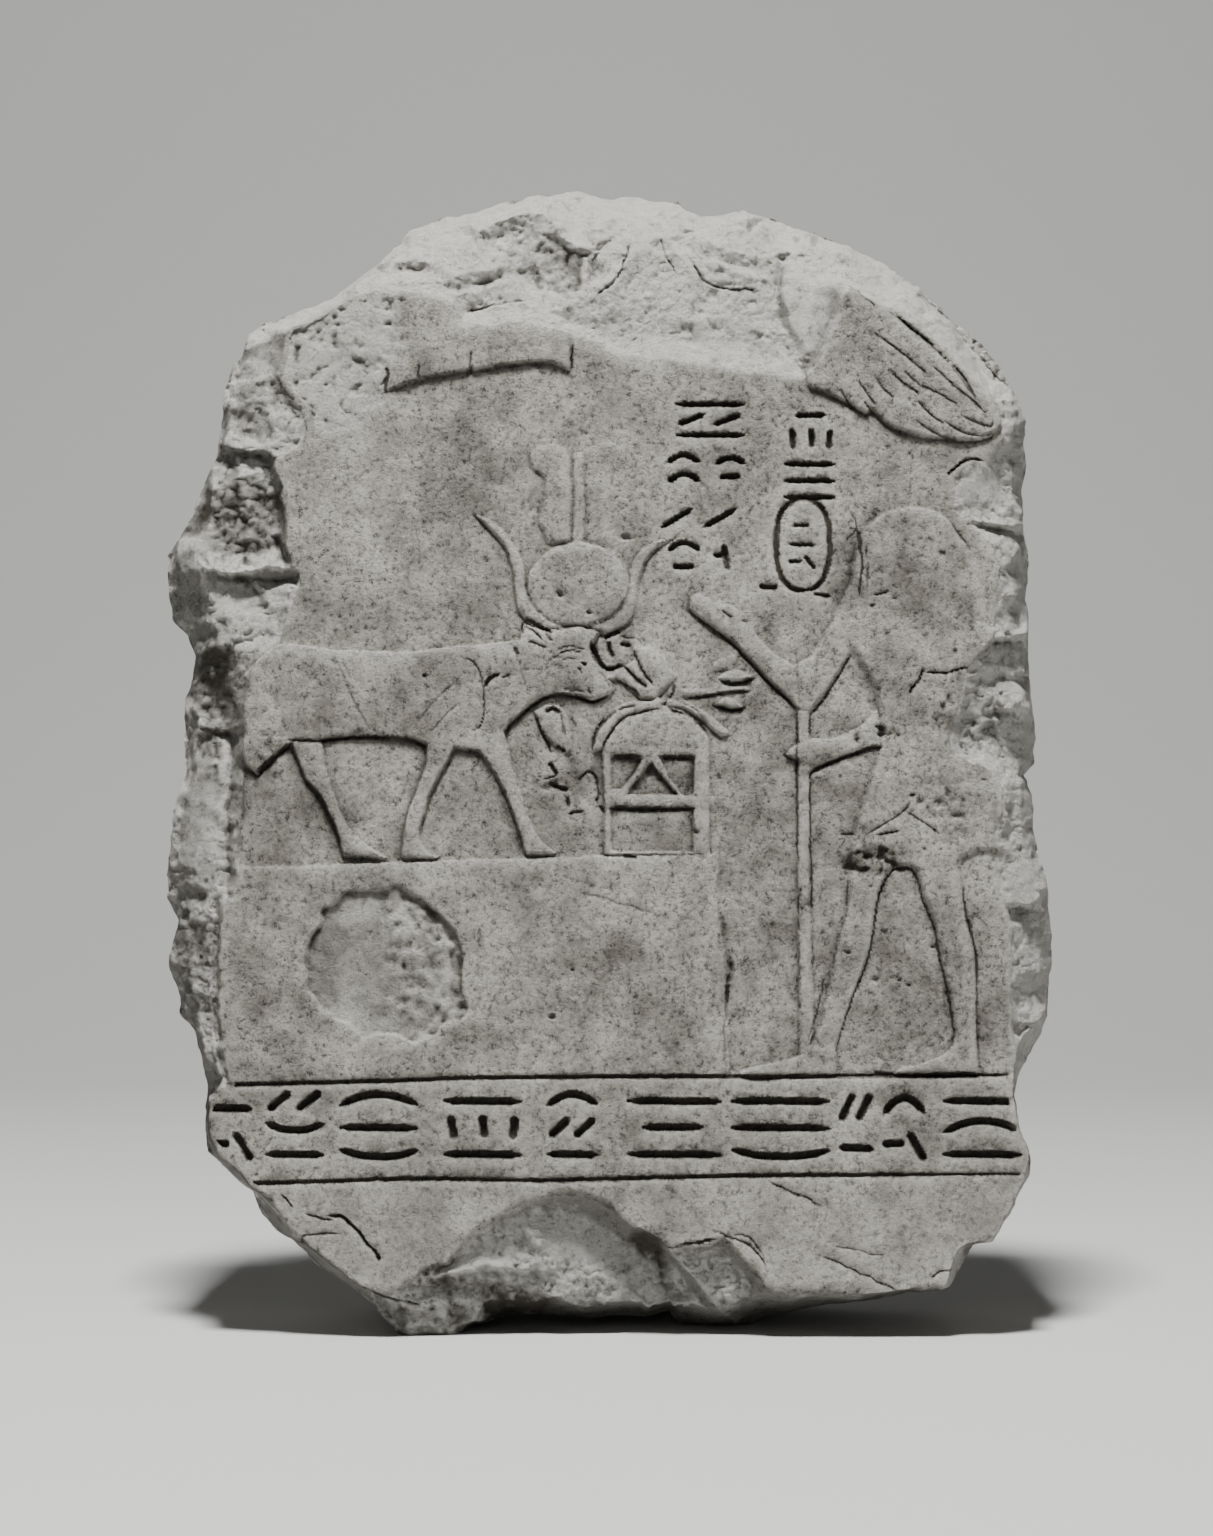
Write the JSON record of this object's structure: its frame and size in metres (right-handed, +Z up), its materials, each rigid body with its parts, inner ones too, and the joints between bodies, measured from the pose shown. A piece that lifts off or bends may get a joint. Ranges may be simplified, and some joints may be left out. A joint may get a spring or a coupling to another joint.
{
  "type": "carved stone stele",
  "caption": "Broken round-topped limestone stele standing upright, with a low relief of a horned cow, an altar and a worshipper over a band of strokes.",
  "frame": {"origin": "middle of the underside of the stone's overall box, on the floor it stands on", "axes": "+X to the right of the carved face, +Y into the stone from the carved face to the back, +Z up"},
  "size_m": [0.2248, 0.062, 0.2935],
  "materials": {
    "limestone": "pale, fine-grained, slightly warm limestone, rubbed dull, with darker dirt in the cuts and on the rough breaks"
  },
  "bodies": {
    "root": {"stele": "limestone"}
  },
  "joints": []
}
